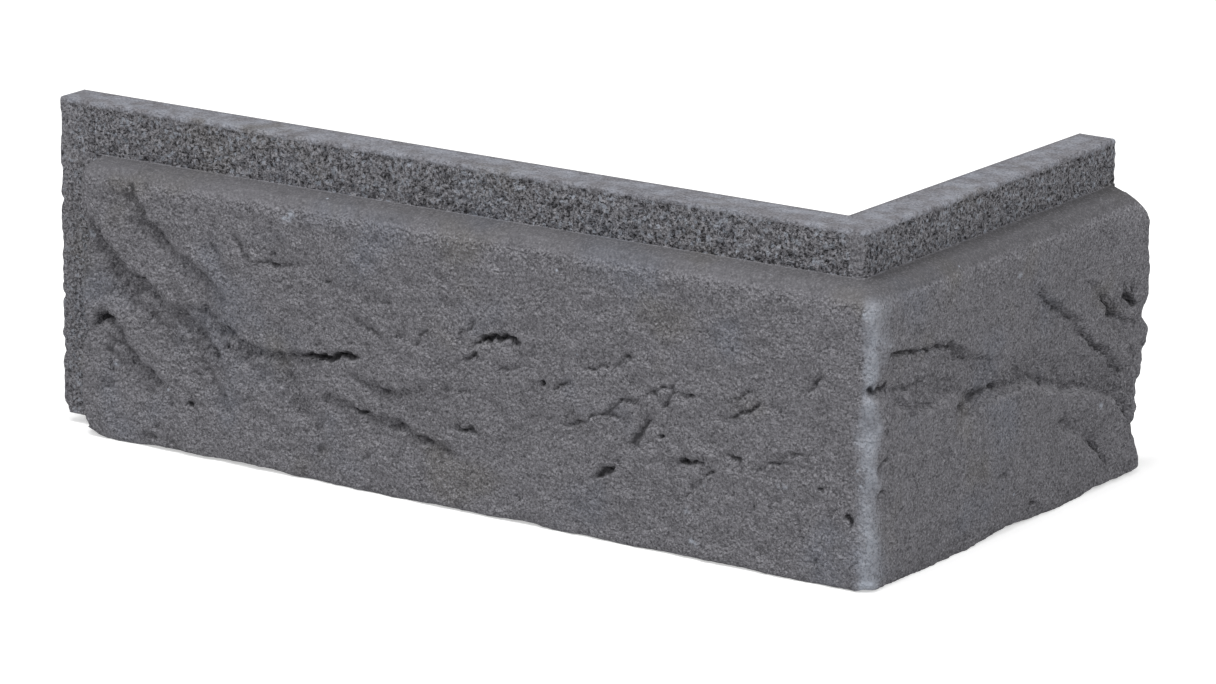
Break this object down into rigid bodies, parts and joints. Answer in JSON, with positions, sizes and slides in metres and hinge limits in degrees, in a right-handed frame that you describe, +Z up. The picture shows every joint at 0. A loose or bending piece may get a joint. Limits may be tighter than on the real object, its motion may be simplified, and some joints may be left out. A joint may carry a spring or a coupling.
{
  "type": "corner brick slip",
  "caption": "L-shaped cast concrete brick slip for outside wall corners, with a riven raised face and a recessed mortar joint strip.",
  "frame": {"origin": "inside corner where the two wall-side faces meet, at the level of the base", "axes": "+Z up; the long leg runs along -X with its riven front facing -Y, and the short leg runs along +Y with its riven front facing +X; the wall corner sits on the +Y side of the long leg and the -X side of the short leg"},
  "size_m": [0.2196, 0.1164, 0.075],
  "materials": {
    "graphite_concrete": "matte"
  },
  "bodies": {
    "root": {"corner_slip": "graphite_concrete"}
  },
  "joints": []
}
